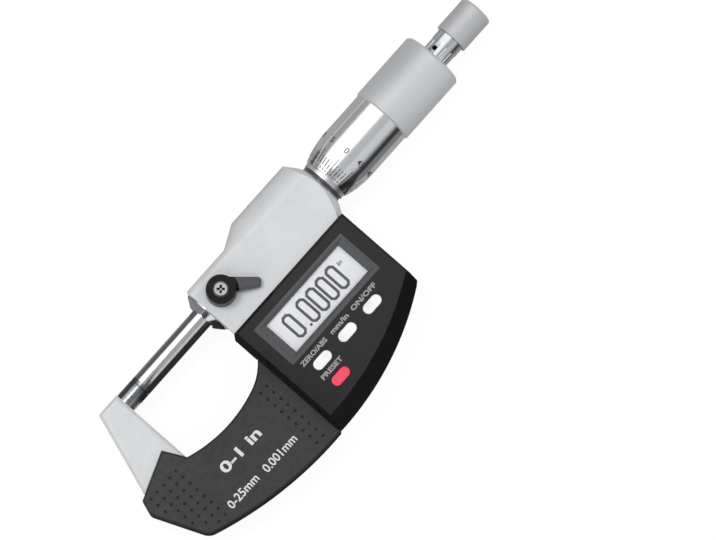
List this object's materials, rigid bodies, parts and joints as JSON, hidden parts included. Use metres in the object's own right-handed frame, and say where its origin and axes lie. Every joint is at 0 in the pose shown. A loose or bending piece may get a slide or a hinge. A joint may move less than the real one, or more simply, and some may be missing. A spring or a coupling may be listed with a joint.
{
  "type": "digital outside micrometer",
  "caption": "Digital outside micrometer, 0 to 25 mm, with a friction thimble, ratchet stop, spindle lock, display housing with push buttons and a plastic-clad bow; lying on its back.",
  "frame": {"origin": "centre of the anvil's measuring face, on the spindle axis", "axes": "+X along the spindle from the anvil towards the thimble, +Y away from the bow, +Z out of the display face; the micrometer lies on its back"},
  "size_m": [0.1706, 0.063, 0.0238],
  "materials": {
    "enamel": "satin",
    "polished_steel": "gloss",
    "hard_metal": "satin",
    "bright_chrome": "gloss",
    "satin_chrome": "satin",
    "lever_finish": "satin",
    "dark_steel": "satin",
    "brass": "satin",
    "housing_plastic": "satin",
    "bezel_plastic": "satin",
    "grip_plastic": "matte",
    "clear_plastic": "gloss",
    "lcd_glass": "gloss",
    "button_white": "satin",
    "button_red": "satin",
    "black_rubber": "matte",
    "grey_rubber": "matte",
    "board": "satin",
    "encoder_board": "satin",
    "cable_film": "gloss",
    "holder_plastic": "matte",
    "cell_steel": "gloss",
    "contact_metal": "gloss"
  },
  "bodies": {
    "fixed": {"frame": "enamel", "anvil": "polished_steel", "anvil_tip": "hard_metal", "guide_bush": "polished_steel", "stator_disc": "encoder_board", "stator_holder": "holder_plastic", "stator_cable": "cable_film", "inner_sleeve": "satin_chrome", "sleeve_seal": "black_rubber", "scale_sleeve": "satin_chrome", "adjusting_nut": "dark_steel", "display_housing": "housing_plastic", "display_bezel": "bezel_plastic", "display_window": "clear_plastic", "lcd": "lcd_glass", "zebra_strips": "grey_rubber", "circuit_board": "board", "board_screws": "dark_steel", "keypad": "grey_rubber", "battery": "cell_steel", "battery_holder": "holder_plastic", "battery_contact": "contact_metal", "grip_cover_front": "grip_plastic", "grip_cover_back": "grip_plastic", "grip_screws": "dark_steel", "housing_screws": "dark_steel"},
    "encoder_rotor": {"rotor_bush": "brass", "rotor_key": "dark_steel", "rotor_disc": "encoder_board"},
    "spindle_and_thimble": {"spindle": "polished_steel", "spindle_tip": "hard_metal", "thimble": "bright_chrome", "ratchet_body": "bright_chrome"},
    "ratchet_cap": {"ratchet_knob": "satin_chrome", "knob_retainer": "dark_steel", "ratchet_spring": "dark_steel"},
    "ratchet_teeth": {"ratchet_ring": "dark_steel"},
    "lock": {"lock_lever": "lever_finish", "lock_screw": "bright_chrome", "lock_shaft": "dark_steel"},
    "lock_slug": {"clamp_slug": "brass"},
    "left_button": {"button_1": "button_white"},
    "middle_button": {"button_2": "button_white"},
    "right_button": {"button_3": "button_white"},
    "red_button": {"button_red": "button_red"},
    "battery_cover": {"battery_cap": "bezel_plastic", "cap_seal": "black_rubber"}
  },
  "joints": [
    {"name": "spindle_rotation", "type": "hinge", "parent": "fixed", "child": "encoder_rotor", "pos_m": [0.0555, 0, 0], "axis": [1, 0, 0], "range_deg": [0, 18000]},
    {"name": "spindle_travel", "type": "slide", "parent": "encoder_rotor", "child": "spindle_and_thimble", "axis": [1, 0, 0], "range_m": [0, 0.025]},
    {"name": "ratchet_knob_turn", "type": "hinge", "parent": "spindle_and_thimble", "child": "ratchet_cap", "pos_m": [0.14, 0, 0], "axis": [1, 0, 0], "continuous": true},
    {"name": "ratchet_ring_click", "type": "slide", "parent": "ratchet_cap", "child": "ratchet_teeth", "axis": [1, 0, 0], "range_m": [0, 0.0006], "stiffness_N_per_m": 800, "springref_m": -0.001, "deforming": ["ratchet_spring"]},
    {"name": "lock_lever_turn", "type": "hinge", "parent": "fixed", "child": "lock", "pos_m": [0.0352, 0, 0.01], "axis": [0, 0, 1], "range_deg": [0, 75]},
    {"name": "clamp_slug_press", "type": "slide", "parent": "fixed", "child": "lock_slug", "axis": [0, 0, -1], "range_m": [0, 0.0001]},
    {"name": "battery_cap_turn", "type": "hinge", "parent": "fixed", "child": "battery_cover", "pos_m": [0.05751, -0.0295, -0.009], "axis": [0, 0, -1], "range_deg": [0, 60]},
    {"name": "left_button_press", "type": "slide", "parent": "fixed", "child": "left_button", "axis": [0, 0, -1], "range_m": [0, 0.0005], "stiffness_N_per_m": 2000, "springref_m": -0.0002, "deforming": ["keypad"]},
    {"name": "middle_button_press", "type": "slide", "parent": "fixed", "child": "middle_button", "axis": [0, 0, -1], "range_m": [0, 0.0005], "stiffness_N_per_m": 2000, "springref_m": -0.0002, "deforming": ["keypad"]},
    {"name": "right_button_press", "type": "slide", "parent": "fixed", "child": "right_button", "axis": [0, 0, -1], "range_m": [0, 0.0005], "stiffness_N_per_m": 2000, "springref_m": -0.0002, "deforming": ["keypad"]},
    {"name": "red_button_press", "type": "slide", "parent": "fixed", "child": "red_button", "axis": [0, 0, -1], "range_m": [0, 0.0005], "stiffness_N_per_m": 2000, "springref_m": -0.0002, "deforming": ["keypad"]}
  ],
  "couplings": [
    {"joint": "spindle_rotation", "follows": "spindle_travel", "rad_per_m": 12566},
    {"joint": "lock_lever_turn", "follows": "clamp_slug_press", "rad_per_m": 13090}
  ]
}
